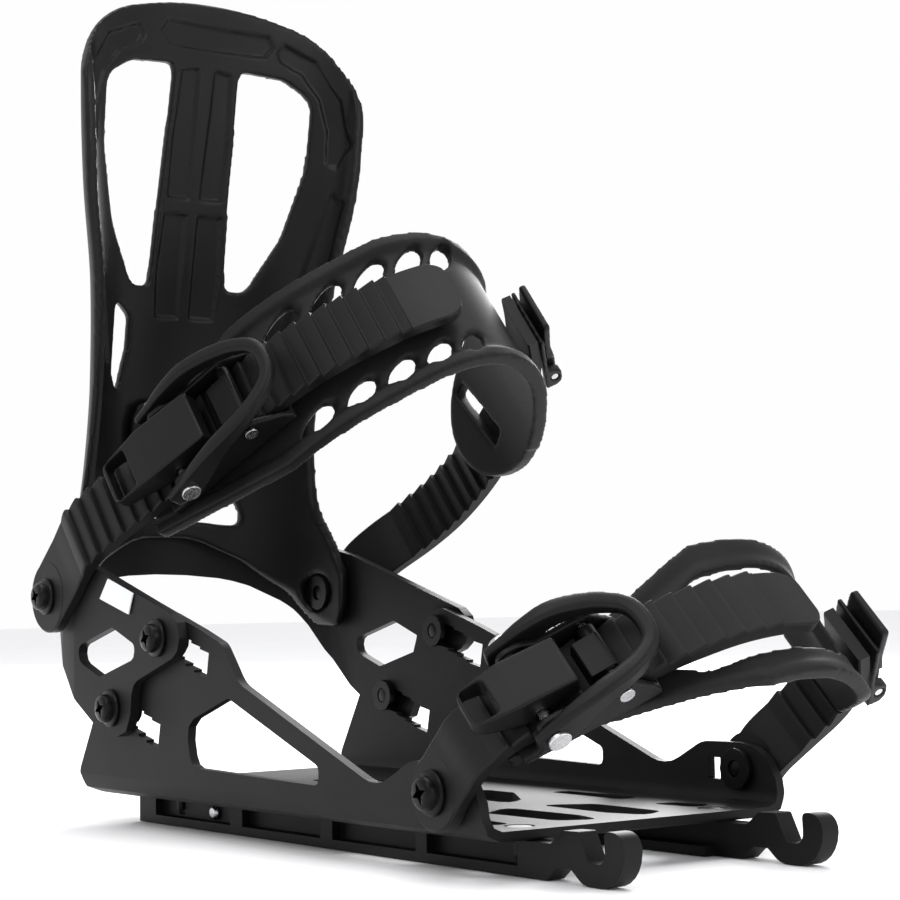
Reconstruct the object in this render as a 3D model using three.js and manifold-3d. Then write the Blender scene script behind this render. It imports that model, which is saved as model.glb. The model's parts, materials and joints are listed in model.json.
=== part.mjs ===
// A two-strap splitboard binding, modelled as a scene graph in millimetres, +Z up.
// +X points to the toe, +Y to the far side, and the origin is on the top face of the boot bed.
import * as THREE from 'three';
import { mergeVertices } from 'three/addons/utils/BufferGeometryUtils.js';
import Module from 'manifold-3d';

const wasm = await Module();
wasm.setup();

// ---------------------------------------------------------------- driving dimensions
const GAP = 0.3;              // clearance between pieces that touch
const GROUND = -13.5;         // the plane that the rails rest on
const BED_THICKNESS = 3;
const WALL_INNER = 54;        // half the width between the side walls
const WALL_OUTER = 57;
const BED_FRONT = 118;
const BED_REAR = -121;
const RAIL_INNER = 33.2;
const RAIL_OUTER = 39.7;
const RAIL_TOP = -BED_THICKNESS - GAP;

const HOOP_INNER = WALL_OUTER + GAP;
const HOOP_THICKNESS = 3.5;
const HOOP_ARC_X = -117;      // where the hoop's straight sides turn into its rear arc
const HOOP_ARC_DEPTH = 51;

const HINGE = { x: -129.8, z: 66.7 };       // axis of the highback and of the ankle strap
const TOE_BOLT = { x: 101.4, z: 10.3 };     // axis of the toe strap
const HOOP_BOLTS = { upper: { x: -55.9, z: 52.1 }, lower: { x: -88.9, z: 27.9 } };
const HINGE_FACE = 51.3;                    // inner face of the highback's hinge seats

const SHELL = 4;                            // highback wall
// half width inside the cheeks, length scale, and height of the strap's underside
const BUCKLE = {
  ankle: { half: 13, length: 1, under: -11.9 },
  toe: { half: 10.5, length: 0.76, under: -10.1 },
};

// ---------------------------------------------------------------- shape helpers

function solid(geometry) {
  const bare = geometry.clone();
  bare.deleteAttribute('normal');
  bare.deleteAttribute('uv');
  const merged = mergeVertices(bare, 1e-4);
  return new wasm.Manifold(new wasm.Mesh({
    numProp: 3,
    vertProperties: new Float32Array(merged.attributes.position.array),
    triVerts: new Uint32Array(merged.index.array),
  }));
}

function fromSolid(manifold) {
  const mesh = manifold.getMesh();
  const geometry = new THREE.BufferGeometry();
  geometry.setAttribute('position', new THREE.BufferAttribute(mesh.vertProperties, 3));
  geometry.setIndex(new THREE.BufferAttribute(mesh.triVerts, 1));
  geometry.computeVertexNormals();
  return geometry;
}

function cut(geometry, tools) {
  return fromSolid(tools.reduce((body, tool) => body.subtract(solid(tool)), solid(geometry)));
}

function join(geometries) {
  const [first, ...rest] = geometries.map(solid);
  return fromSolid(rest.reduce((body, other) => body.add(other), first));
}

function common(a, b) {
  return fromSolid(solid(a).intersect(solid(b)));
}

// A closed outline from corners [u, v, radius], each corner rounded by a true arc.
function outline(listed) {
  const first = Math.max(listed.findIndex(([, , radius = 0]) => radius > 0), 0);
  const corners = [...listed.slice(first), ...listed.slice(0, first)];
  const shape = new THREE.Shape();
  const at = (i) => new THREE.Vector2(...corners[(i + corners.length) % corners.length]);
  corners.forEach(([u, v, radius = 0], i) => {
    const here = new THREE.Vector2(u, v);
    const back = at(i - 1).sub(here).normalize();
    const ahead = at(i + 1).sub(here).normalize();
    const half = Math.acos(THREE.MathUtils.clamp(back.dot(ahead), -1, 1)) / 2;
    if (radius === 0 || half > Math.PI / 2 - 0.01) {
      if (i === 0) shape.moveTo(u, v);
      else shape.lineTo(u, v);
      return;
    }
    const reach = radius / Math.tan(half);
    const start = here.clone().addScaledVector(back, reach);
    const end = here.clone().addScaledVector(ahead, reach);
    const middle = back.clone().add(ahead).normalize().multiplyScalar(radius / Math.sin(half));
    const centre = here.clone().add(middle);
    const from = Math.atan2(start.y - centre.y, start.x - centre.x);
    const to = Math.atan2(end.y - centre.y, end.x - centre.x);
    shape.absarc(centre.x, centre.y, radius, from, to, back.cross(ahead) > 0);
  });
  return shape;
}

const PLANES = {
  // u, v and the direction of extrusion
  x: [[0, 1, 0], [0, 0, 1], [1, 0, 0]],
  y: [[1, 0, 0], [0, 0, 1], [0, -1, 0]],
  z: [[1, 0, 0], [0, 1, 0], [0, 0, 1]],
};

// A straight prism of an outline along one axis, between two stations on that axis.
function prism(axis, shape, low, high, curveSegments = 2) {
  const depth = high - low;
  const geometry = new THREE.ExtrudeGeometry(shape, { depth, bevelEnabled: false, curveSegments });
  const [u, v, w] = PLANES[axis].map((column) => new THREE.Vector3(...column));
  geometry.applyMatrix4(new THREE.Matrix4().makeBasis(u, v, w));
  const start = axis === 'y' ? -high : low;
  geometry.translate(...w.multiplyScalar(start).toArray());
  return geometry;
}

function box(x0, x1, y0, y1, z0, z1) {
  const geometry = new THREE.BoxGeometry(x1 - x0, y1 - y0, z1 - z0);
  geometry.translate((x0 + x1) / 2, (y0 + y1) / 2, (z0 + z1) / 2);
  return geometry;
}

// A round rod along Y between two stations.
function rodY(radius, x, z, y0, y1, segments = 12) {
  const geometry = new THREE.CylinderGeometry(radius, radius, Math.abs(y1 - y0), segments);
  geometry.translate(x, (y0 + y1) / 2, z);
  return geometry;
}

function rodZ(radius, x, y, z0, z1, segments = 12) {
  const geometry = new THREE.CylinderGeometry(radius, radius, z1 - z0, segments);
  geometry.rotateX(Math.PI / 2);
  geometry.translate(x, y, (z0 + z1) / 2);
  return geometry;
}

// A turned piece about Y: profile points are [radius, distance along the axis].
function turnedY(profile, x, z, y, direction, segments = 14) {
  const points = profile.map(([radius, along]) => new THREE.Vector2(radius, along));
  const geometry = new THREE.LatheGeometry(points, segments);
  if (direction < 0) geometry.rotateX(Math.PI);
  geometry.translate(x, y, z);
  return geometry;
}

const finishes = {
  anodised: { color: 0x17171a, roughness: 0.38, metalness: 0.9 },
  nylon: { color: 0x161617, roughness: 0.55, metalness: 0 },
  rubbery: { color: 0x1b1b1c, roughness: 0.75, metalness: 0 },
  screw: { color: 0x121213, roughness: 0.4, metalness: 0.8 },
  silver: { color: 0xb8b8ba, roughness: 0.3, metalness: 1 },
  label: { color: 0xd9dde2, roughness: 0.6, metalness: 0 },
};

const binding = new THREE.Group();

function piece(name, geometry, finish, parent = binding) {
  const mesh = new THREE.Mesh(geometry, new THREE.MeshStandardMaterial(finishes[finish]));
  mesh.name = name;
  parent.add(mesh);
  return mesh;
}

const SIDES = [
  { name: 'near', sign: -1 },
  { name: 'far', sign: 1 },
];

// ---------------------------------------------------------------- baseplate
const WALL_PROFILE = outline([
  [BED_REAR + 1, -3, 5], [-120.5, 5.3, 4], [-105, 31, 5], [-99, 35, 3], [-72, 42, 4], [-69, 49, 4],
  [-66, 59.5, 4], [-53, 60.3, 4], [-34, 54.8, 6], [-20.5, 50.4, 8], [-9.5, 37.8, 12],
  [67.5, 9.4, 16], [85, 18.2, 12], [118.6, 18.4, 16], [BED_FRONT, -3, 1],
]);

const TRIANGLE = outline([
  [-16.5, 33, 3], [-44, 24, 6], [-40.5, 9.7, 5], [36.5, 8.2, 2], [36.5, 14, 2],
]);

// Stepped slot for one hoop bolt: overlapping squares, each a tooth pitch further on.
function steppedSlot({ x, z }, side) {
  const pitch = { x: 5.9, z: -2.0 };
  const half = 4.1;
  const steps = [0, 1, 2, 3, 4].map((i) => {
    const geometry = new THREE.BoxGeometry(2 * half, 12, 2 * half);
    geometry.rotateY(THREE.MathUtils.degToRad(12));
    geometry.translate(x + i * pitch.x * 0.96, side * WALL_OUTER, z + i * pitch.z);
    return geometry;
  });
  return join(steps);
}

const FLOOR_CUTS = [
  [[62, 6, 3], [96, 5, 4], [110, 9, 3], [104, 20, 5], [72, 21, 4]],
  [[84, 33, 2], [104, 35, 3], [99, 44, 3], [86, 41, 2]],
  [[30, 37, 2], [68, 36, 3], [64, 45, 2], [30, 44, 2]],
  [[11, 4, 3], [52, 4, 3], [44, 14, 4], [22, 28, 4], [6, 28, 3]],
  [[-72, 8, 4], [-18, 10, 4], [-28, 27, 5], [-72, 26, 4]],
];

function baseplate() {
  const section = outline([
    [-WALL_OUTER, 62], [-WALL_OUTER, -BED_THICKNESS, 7], [WALL_OUTER, -BED_THICKNESS, 7],
    [WALL_OUTER, 62], [WALL_INNER, 62], [WALL_INNER, 0, 4], [-WALL_INNER, 0, 4], [-WALL_INNER, 62],
  ]);
  const channel = prism('x', section, BED_REAR - 5, BED_FRONT + 8, 1);
  const trimmed = common(channel, prism('y', WALL_PROFILE, -60, 60, 2));
  const cuts = [prism('y', TRIANGLE, -60, 60, 1)];
  for (const { sign } of SIDES) {
    cuts.push(steppedSlot(HOOP_BOLTS.upper, sign), steppedSlot(HOOP_BOLTS.lower, sign));
    cuts.push(box(87.3, 93, sign * WALL_OUTER - 6, sign * WALL_OUTER + 6, 6.7, 13.3));
    cuts.push(rodY(4.6, TOE_BOLT.x, TOE_BOLT.z, sign * WALL_OUTER - 6, sign * WALL_OUTER + 6));
    for (const corners of FLOOR_CUTS) {
      const mirrored = corners.map(([x, y, radius]) => [x, sign * y, radius]);
      cuts.push(prism('z', outline(mirrored), -6, 4, 1));
    }
    for (const x of FLOOR_SCREW_X) cuts.push(floorScrewSeat(x, sign));
  }
  return cut(trimmed, cuts);
}

// ---------------------------------------------------------------- countersunk floor screws
const FLOOR_SCREW_X = [-84, 108];
const FLOOR_SCREW_Y = (RAIL_INNER + RAIL_OUTER) / 2;

function conical(headRadius, shankRadius, bottom, headDepth, x, y, top) {
  const profile = [
    [0, bottom], [shankRadius, bottom], [shankRadius, -headDepth], [headRadius, -0.4],
    [headRadius, 0], [0, 0],
  ].map(([radius, height]) => new THREE.Vector2(radius, height));
  const geometry = new THREE.LatheGeometry(profile);
  geometry.rotateX(Math.PI / 2);
  geometry.translate(x, y, top);
  return geometry;
}

function floorScrewSeat(x, side) {
  return conical(4.6, 2, -8, 2.5, x, side * FLOOR_SCREW_Y, 0.3);
}

// ---------------------------------------------------------------- rails with the toe hooks
const POCKETS = [[-96.6, -45.4], [-37.6, 10], [17, 62], [67.7, 111]];
const POCKET_DEPTH = 3.5;
const RAIL_SCREW = { x: -60, z: -7.5 };

function rail(side) {
  const profile = outline([
    [-108.5, GROUND], [123.7, GROUND], [128.6, -9.6], [134.5, -9.6], [139.5, GROUND, 7],
    [156.3, GROUND, 10], [157, 1.6, 5], [148.6, 1.6, 1.5], [149, -7.3, 3], [142.2, -7.3, 1.5],
    [137.9, 0.8, 1], [131, 0.6, 2], [126, RAIL_TOP, 2], [-108.5, RAIL_TOP],
  ]);
  const low = Math.min(side * RAIL_INNER, side * RAIL_OUTER);
  const high = Math.max(side * RAIL_INNER, side * RAIL_OUTER);
  const lipEdge = side * (RAIL_INNER - 4);
  const lip = box(
    -108.5, 112, Math.min(lipEdge, side * 34), Math.max(lipEdge, side * 34), GROUND, GROUND + 3,
  );
  const bar = join([prism('y', profile, low, high, 3), lip]);
  const floorOfPocket = RAIL_OUTER - POCKET_DEPTH;
  const pockets = POCKETS.map(([x0, x1]) => {
    const edges = [side * floorOfPocket, side * (RAIL_OUTER + 2)];
    return box(x0, x1, Math.min(...edges), Math.max(...edges), -10.5, -4.5);
  });
  const bores = FLOOR_SCREW_X.map((x) => rodZ(2, x, side * FLOOR_SCREW_Y, -9.8, 0));
  const sideBore = rodY(2, RAIL_SCREW.x, RAIL_SCREW.z, side * 30, side * 39);
  return cut(bar, [...pockets, ...bores, sideBore]);
}

// ---------------------------------------------------------------- heel hoop
// Half of the hoop's plan: straight sides, then an elliptical arc round the heel.
function hoopPlan(clearance) {
  const depth = HOOP_ARC_DEPTH + clearance;
  const half = HOOP_INNER + clearance;
  return (angle) => [HOOP_ARC_X - depth * Math.sin(angle), -half * Math.cos(angle)];
}

function planBand(outerClearance, innerClearance, front, z0, z1, steps) {
  const shape = new THREE.Shape();
  const outer = hoopPlan(outerClearance);
  const inner = hoopPlan(innerClearance);
  const angles = Array.from({ length: steps + 1 }, (_, i) => (i / steps) * Math.PI);
  shape.moveTo(front, outer(0)[1]);
  for (const angle of angles) shape.lineTo(...outer(angle));
  shape.lineTo(front, outer(Math.PI)[1]);
  shape.lineTo(front, inner(Math.PI)[1]);
  for (const angle of angles.reverse()) shape.lineTo(...inner(angle));
  shape.lineTo(front, inner(0)[1]);
  return prism('z', shape, z0, z1, 1);
}

function heelHoop() {
  const band = planBand(HOOP_THICKNESS, 0, -30, 10, 100, 14);
  const profile = outline([
    [-180, 95], [-172, 93.5, 20], [-116, 80.8, 30], [-61, 64.3], [-41, 58.5, 8],
    [-41.5, 46.8, 7], [-74, 36.5, 6], [-76.5, 17.5, 9], [-97, 19.2, 12], [-118, 30.5, 14],
    [-132, 44.5, 20], [-144, 60.4, 20], [-160, 72, 20], [-180, 79],
  ]);
  const trimmed = common(band, prism('y', profile, -70, 70, 1));
  const window = outline([
    [-88.4, 55.6, 1.5], [-72.2, 49.8, 2], [-72.4, 44.9, 3], [-98, 38.4, 2],
    [-113.5, 43.6, 4], [-113.8, 49, 3],
  ]);
  const cuts = [prism('y', window, -70, 70, 1), rodY(4.9, HINGE.x, HINGE.z, -70, 70)];
  for (const { x, z } of Object.values(HOOP_BOLTS)) cuts.push(rodY(3, x, z, -70, 70));
  return cut(trimmed, cuts);
}

// A thin slanted plate on the near side of the hoop.
function hoopLabel() {
  const face = HOOP_INNER + HOOP_THICKNESS + GAP;
  const plate = outline([[-95.9, 65.5], [-89.7, 72.4], [-71.5, 67.2], [-74.9, 60]]);
  return prism('y', plate, -face - 0.5, -face);
}

// ---------------------------------------------------------------- bolts and T-nuts through the walls
const HEAD_PROFILE = [[0, 0], [6.6, 0], [6.6, 1.1], [5.7, 3.2], [4.3, 4.4], [0, 4.6]];

function boltWithHead(profile, shankRadius, x, z, seat, side, reach) {
  const head = turnedY(profile, x, z, seat, side);
  const shank = rodY(shankRadius, x, z, seat + side * 0.5, seat - side * reach);
  return join([head, shank]);
}

function tubeY(outer, bore, x, z, y0, y1, segments = 12) {
  const ring = new THREE.Shape();
  ring.absarc(0, 0, outer, 0, 2 * Math.PI);
  const hole = new THREE.Path();
  hole.absarc(0, 0, bore, 0, 2 * Math.PI, true);
  ring.holes.push(hole);
  const geometry = prism('y', ring, Math.min(y0, y1), Math.max(y0, y1), segments / 2);
  geometry.translate(x, 0, z);
  return geometry;
}

function flangedNut(flange, barrel, bore, x, z, face, flangeThickness, barrelEnd) {
  const outward = Math.sign(face);
  const flangeStart = face - outward * flangeThickness;
  return join([
    tubeY(flange, bore, x, z, flangeStart, face),
    tubeY(barrel, bore, x, z, face - outward * 0.5, barrelEnd),
  ]);
}

// ---------------------------------------------------------------- highback
// Plan section of the shell at a height: centre, depth and half width of its outer ellipse.
const SHELL_STATIONS = [
  // z, rear x, x of the widest point, half width
  [44, -165.0, -117, 55.5], [86, -164.6, -117, 55.5], [116, -160.0, -124, 49.8],
  [142, -154.5, -123, 48.6], [182, -147.0, -117, 51.5], [216, -139.8, -111, 57.5],
  [249, -131.6, -109, 60.0], [296, -122.6, -107, 60.6],
];

function shellSection(z) {
  const next = SHELL_STATIONS.findIndex((station) => station[0] >= z);
  const b = SHELL_STATIONS[Math.max(next, 1)];
  const a = SHELL_STATIONS[Math.max(next, 1) - 1];
  const t = THREE.MathUtils.smoothstep(z, a[0], b[0]) * 0.35 + ((z - a[0]) / (b[0] - a[0])) * 0.65;
  const [, rear, centre, half] = a.map((value, i) => THREE.MathUtils.lerp(value, b[i], t));
  return { rear, centre, half };
}

// Closed solid through rings that all have the same number of points.
function loft(rings) {
  const count = rings[0].length;
  const positions = rings.flat(2);
  const index = [];
  for (let ring = 0; ring < rings.length - 1; ring += 1) {
    for (let i = 0; i < count; i += 1) {
      const a = ring * count + i;
      const b = ring * count + ((i + 1) % count);
      index.push(a, b, b + count, a, b + count, a + count);
    }
  }
  const cap = (ring, flip) => {
    const contour = rings[ring].map(([x, y]) => new THREE.Vector2(x, y));
    for (const [a, b, c] of THREE.ShapeUtils.triangulateShape(contour, [])) {
      const corners = [a, b, c].map((i) => ring * count + i);
      index.push(...(flip ? corners.reverse() : corners));
    }
  };
  cap(0, true);
  cap(rings.length - 1, false);
  const geometry = new THREE.BufferGeometry();
  geometry.setAttribute('position', new THREE.Float32BufferAttribute(positions, 3));
  geometry.setIndex(index);
  return geometry;
}

const SHELL_FRONT = -96;
const SHELL_STEPS = 12;
const SHELL_HEIGHTS = [50, 86, 116, 142, 182, 216, 249, 272, 296];

// A U-shaped ring of the shell at a height, between two distances in from its outer face.
function shellRing(z, outerInset, innerInset) {
  const { rear, centre, half } = shellSection(z);
  const line = (inset) => Array.from({ length: SHELL_STEPS + 1 }, (_, i) => {
    const angle = (i / SHELL_STEPS) * Math.PI;
    const depth = centre - rear - inset;
    return [centre - depth * Math.sin(angle), -(half - inset) * Math.cos(angle), z];
  });
  const ends = (inset) => [[SHELL_FRONT, inset - half, z], [SHELL_FRONT, half - inset, z]];
  const [outerStart, outerEnd] = ends(outerInset);
  const [innerEnd, innerStart] = ends(innerInset);
  const outer = [outerStart, ...line(outerInset), outerEnd];
  const inner = [innerStart, ...line(innerInset).reverse(), innerEnd];
  return [...outer, ...inner].reverse();
}

function highback() {
  const shell = loft(SHELL_HEIGHTS.map((z) => shellRing(z, 0, SHELL)));
  // front edge of the wings and hinge seats, seen from the side
  const side = outline([
    [-180, 52.8], [HINGE.x - 8, 52.8], [-116.5, 52.6, 13], [-116.5, 74, 10], [-130, 100, 20],
    [-127.5, 125, 30], [-117, 180, 40], [-108.2, 230, 40], [-106, 275, 20], [-116, 296], [-180, 296],
  ]);
  // rounded top and arched lower edge, seen from the front
  const front = outline([
    [-66, 52.5], [-52, 53.5, 3], [-45, 67, 12], [-30, 80, 20], [-12, 88.8, 30], [12, 88.8, 30],
    [30, 80, 20], [45, 67, 12], [52, 53.5, 3], [66, 52.5], [66, 250, 30], [52, 282, 45],
    [0, 293.5, 120], [-52, 282, 45], [-66, 250, 30],
  ]);
  const trimmed = common(
    common(shell, prism('y', side, -70, 70, 1)),
    prism('x', front, -180, -90, 1),
  );
  const window = [
    [14, 262, 3], [15, 266.5, 4], [33, 265, 12], [44.5, 258, 9], [44, 232, 16], [37, 205, 30],
    [25, 183.5, 6], [16.5, 184, 4], [15, 220, 10],
  ];
  const slot = [[-31, 93, 4], [-27, 104, 4], [27, 104, 4], [31, 93, 4], [0, 97, 40]];
  const notch = [[25, 172, 3], [33, 178, 3], [33, 150, 3], [29, 142, 1.5], [25, 160, 3]];
  const mirror = (corners) => corners.map(([y, z, radius]) => [-y, z, radius]);
  const cuts = [window, mirror(window), slot, notch, mirror(notch)].map(
    (corners) => prism('x', outline(corners), -180, -90, 1),
  );
  for (const { sign } of SIDES) {
    cuts.push(rodY(4.9, HINGE.x, HINGE.z, sign * 30, sign * 60));
    cuts.push(rodY(7.4, HINGE.x, HINGE.z, sign * 30, sign * (HINGE_FACE + GAP)));
  }
  for (const z of LEAN_SCREWS) cuts.push(rodX(1.9, z, -175, -150));
  return cut(trimmed, cuts);
}

// ---------------------------------------------------------------- forward lean adjuster and back pad
const LEAN_SCREWS = [124, 146];

function rodX(radius, z, x0, x1, y = 0, segments = 12) {
  const geometry = new THREE.CylinderGeometry(radius, radius, x1 - x0, segments);
  geometry.rotateZ(Math.PI / 2);
  geometry.translate((x0 + x1) / 2, y, z);
  return geometry;
}

// Rear face of the shell on the centre line at a height, found from its stations.
const rearAt = (z) => shellSection(z).rear;
const LEAN_TILT = Math.atan2(rearAt(150) - rearAt(112), 38);

function leanFrame() {
  const frame = new THREE.Group();
  frame.position.set(rearAt(135) - 0.9, 0, 135);
  frame.rotation.y = LEAN_TILT;
  binding.add(frame);
  return frame;
}

function leanAdjuster() {
  const frame = leanFrame();
  const block = outline([
    [-1, -26], [-1, 22, 2], [-6, 22, 3], [-9, 4, 4], [-15, -18, 3], [-15, -26, 2], [-7, -30, 3],
  ]);
  const body = prism('y', block, -11, 11, 2);
  const fork = box(-22, -2.6, -6.3, 6.3, -8, 24);
  const pinHole = rodY(1.9, -5, 12, -14, 14);
  const screwHoles = [-11, 11].map((z) => rodX(1.9, z, -30, 5));
  piece('lean_adjuster_block', cut(body, [fork, pinHole, ...screwHoles]), 'nylon', frame);
  const lever = outline([
    [-3.1, 14.5, 2], [-8, 15, 2], [-13.5, -4, 3], [-14.5, -7, 1], [-8.5, -5, 1], [-6.8, 2, 1],
  ]);
  const flip = cut(prism('y', lever, -5.8, 5.8, 2), [rodY(1.9, -5.4, 12, -14, 14)]);
  piece('lean_flip_lever', flip, 'nylon', frame);
  piece('lean_lever_pin', rodY(1.5, -5.4, 12, -10.6, 10.6), 'silver', frame);
}

// A soft pad set against the inner face of the shell, low on the centre line.
function backPad() {
  const heights = SHELL_HEIGHTS.filter((z) => z > 80 && z < 190);
  const layer = loft(heights.map((z) => shellRing(z, SHELL + GAP, SHELL + 3)));
  const edge = outline([[-20, 108, 6], [20, 108, 6], [22, 141, 8], [-22, 141, 8]]);
  return common(layer, prism('x', edge, -180, -120, 1));
}

// ---------------------------------------------------------------- straps
// A strap lies in a plane that turns about its bolts. In that plane y is across the
// binding and s is the distance from the bolt axis. w is the strap's width direction.
function strapPlane(bolt, degrees) {
  const angle = THREE.MathUtils.degToRad(degrees);
  const along = new THREE.Vector3(Math.cos(angle), 0, Math.sin(angle));
  const width = new THREE.Vector3(-Math.sin(angle), 0, Math.cos(angle));
  return { origin: new THREE.Vector3(bolt.x, 0, bolt.z), along, width, bolt };
}

// A band of even thickness along a smooth line of [y, s] points.
function band(plane, points, thickness, w0, w1, steps) {
  const line = new THREE.SplineCurve(points.map(([y, s]) => new THREE.Vector2(y, s)));
  const count = steps + 1;
  const centre = Array.from({ length: count }, (_, i) => line.getPointAt(i / steps));
  const normals = Array.from({ length: count }, (_, i) => {
    const tangent = line.getTangentAt(i / steps);
    return new THREE.Vector2(-tangent.y, tangent.x);
  });
  const edge = (offset) => centre.map((point, i) => point.clone().addScaledVector(normals[i], offset));
  const shape = new THREE.Shape([...edge(-thickness / 2), ...edge(thickness / 2).reverse()]);
  const geometry = new THREE.ExtrudeGeometry(shape, { depth: w1 - w0, bevelEnabled: false });
  const y = new THREE.Vector3(0, 1, 0);
  const basis = new THREE.Matrix4().makeBasis(y, plane.along, plane.width.clone().negate());
  basis.setPosition(plane.origin.clone().addScaledVector(plane.width, w1));
  geometry.applyMatrix4(basis);
  return geometry;
}

// A prism across the strap loop: outline in [y, w], running along s.
function acrossLoop(plane, corners, s0, s1) {
  const shape = outline(corners);
  const geometry = new THREE.ExtrudeGeometry(shape, {
    depth: s1 - s0, bevelEnabled: false, curveSegments: 1,
  });
  const y = new THREE.Vector3(0, 1, 0);
  const basis = new THREE.Matrix4().makeBasis(y, plane.width, plane.along);
  basis.setPosition(plane.origin.clone().addScaledVector(plane.along, s0));
  geometry.applyMatrix4(basis);
  return geometry;
}

// A prism through one side of the strap loop: outline in [s, w], running along y.
function besideLoop(plane, corners, y0, y1) {
  const geometry = new THREE.ExtrudeGeometry(outline(corners), {
    depth: y1 - y0, bevelEnabled: false, curveSegments: 1,
  });
  const y = new THREE.Vector3(0, 1, 0);
  const basis = new THREE.Matrix4().makeBasis(plane.along, plane.width, y.clone().negate());
  basis.setPosition(plane.origin.clone().addScaledVector(y, y1));
  geometry.applyMatrix4(basis);
  return geometry;
}

function strapEye(plane, radius, y0, y1) {
  return rodY(radius, plane.bolt.x, plane.bolt.z, y0, y1, 20);
}

// The frame of a buckle: x along the strap, y along its width, z away from the leg.
function strapFrame(plane, [y, s], degrees) {
  const angle = THREE.MathUtils.degToRad(degrees);
  const across = new THREE.Vector3(0, 1, 0);
  const tangent = across.clone().multiplyScalar(Math.cos(angle))
    .addScaledVector(plane.along, Math.sin(angle));
  const normal = across.clone().multiplyScalar(-Math.sin(angle))
    .addScaledVector(plane.along, Math.cos(angle));
  const basis = new THREE.Matrix4().makeBasis(tangent, plane.width, normal);
  const frame = new THREE.Group();
  frame.quaternion.setFromRotationMatrix(basis);
  frame.position.copy(plane.origin).addScaledVector(across, y).addScaledVector(plane.along, s);
  frame.updateMatrixWorld(true);
  binding.add(frame);
  return frame;
}

const LEVER_PIN = { x: -13, z: 5.5 };
const PAWL_PIN = { x: 16, z: 4.8 };

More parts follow.
